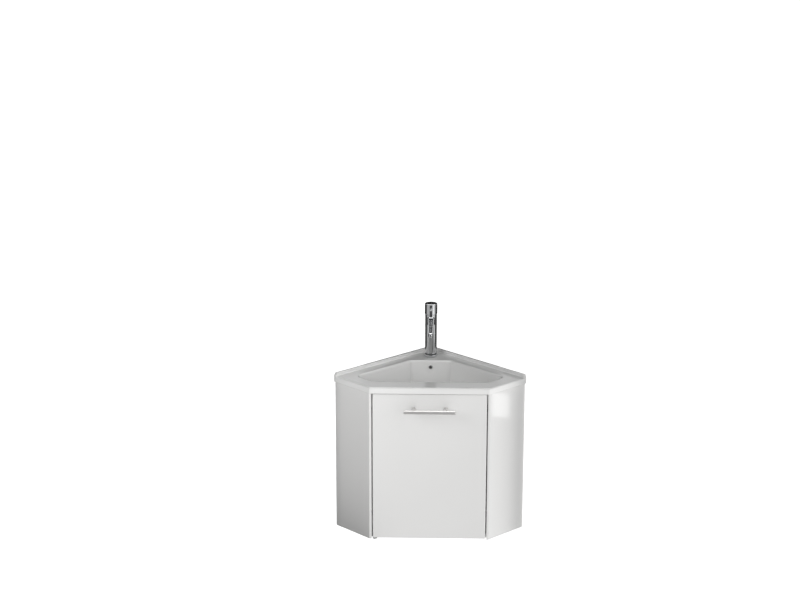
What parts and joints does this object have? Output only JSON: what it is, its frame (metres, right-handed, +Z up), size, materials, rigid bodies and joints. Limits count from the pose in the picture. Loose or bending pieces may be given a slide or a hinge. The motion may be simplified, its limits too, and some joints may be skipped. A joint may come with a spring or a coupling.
{
  "type": "corner vanity unit",
  "caption": "Wall-hung corner vanity: a five-sided white cabinet with one pin-hinged door and bar handle, under a corner basin with a lever mixer tap, plug and bottle trap.",
  "frame": {"origin": "the vertical line where the two walls meet, at the height of the cabinet's underside", "axes": "+Z up, +Y into the wall corner, so the door faces -Y; +X is to the right of someone facing the door"},
  "size_m": [0.5868, 0.4354, 0.6629],
  "materials": {
    "lacquered_board": "MDF with a white high-gloss lacquer",
    "melamine_board": "particle board with a white melamine face, satin",
    "glazed_ceramic": "white glaze, glossy",
    "chrome": "polished chrome on brass",
    "brushed_steel": "satin brushed",
    "zinc_steel": "zinc plated",
    "brass": "plain turned brass",
    "white_plastic": "white polypropylene, satin",
    "grey_plastic": "grey acetal, satin",
    "rubber": "black rubber, matte",
    "beech": "bare beech",
    "clear_plastic": "translucent soft plastic"
  },
  "bodies": {
    "unit": {"left_return_panel": "lacquered_board", "right_return_panel": "lacquered_board", "bottom_panel": "melamine_board", "left_upper_rail": "melamine_board", "right_upper_rail": "melamine_board", "left_lower_rail": "melamine_board", "right_lower_rail": "melamine_board", "front_rail": "melamine_board", "corner_brackets": "zinc_steel", "bracket_screws": "zinc_steel", "cam_locks": "zinc_steel", "cam_bolts": "zinc_steel", "wood_dowels": "beech", "basin": "glazed_ceramic", "overflow_ring": "chrome", "waste_body": "chrome", "waste_upper_seal": "rubber", "waste_lower_seal": "rubber", "waste_nut": "chrome", "trap_inlet_seal": "rubber", "trap_inlet_nut": "white_plastic", "trap_dip_tube": "white_plastic", "trap_body": "white_plastic", "trap_cup_seal": "rubber", "trap_cup": "white_plastic", "trap_outlet_seal": "rubber", "trap_outlet_nut": "white_plastic", "trap_outlet_pipe": "white_plastic", "tap_body": "chrome", "tap_gasket": "rubber", "tap_stud": "zinc_steel", "tap_clamp_rubber": "rubber", "tap_clamp_plate": "zinc_steel", "tap_nut": "brass", "aerator_housing": "chrome", "aerator_insert": "grey_plastic", "cartridge_body": "white_plastic", "dome_nut": "chrome", "pivot_pins": "zinc_steel", "upper_pivot_plate": "zinc_steel", "lower_pivot_plate": "zinc_steel", "pivot_plate_screws": "zinc_steel", "magnetic_catch": "white_plastic", "catch_screws": "zinc_steel"},
    "door": {"door_panel": "lacquered_board", "handle_bar": "brushed_steel", "handle_posts": "brushed_steel", "handle_screws": "zinc_steel", "pivot_bushes": "grey_plastic", "strike_plate": "zinc_steel", "door_buffers": "clear_plastic"},
    "tap_turret": {"cartridge_rotor": "grey_plastic", "rotor_pin": "zinc_steel"},
    "tap_handle": {"spindle": "brass", "handle_cap": "chrome", "handle_lever": "chrome", "grub_screw": "zinc_steel", "screw_plug": "chrome"},
    "plug": {"waste_plug": "chrome", "plug_seal": "rubber"}
  },
  "joints": [
    {"name": "door_swing", "type": "hinge", "parent": "unit", "child": "door", "pos_m": [-0.16593, -0.39139, 0.235], "axis": [0, 0, -1], "range_deg": [0, 100]},
    {"name": "tap_swivel", "type": "hinge", "parent": "unit", "child": "tap_turret", "pos_m": [0, -0.08, 0.6378], "axis": [0, 0, 1], "range_deg": [-45, 45]},
    {"name": "tap_lift", "type": "hinge", "parent": "tap_turret", "child": "tap_handle", "pos_m": [0, -0.08, 0.6378], "axis": [-1, 0, 0], "range_deg": [0, 20]},
    {"name": "plug_rise", "type": "slide", "parent": "unit", "child": "plug", "axis": [0, 0, 1], "range_m": [0, 0.008]}
  ]
}
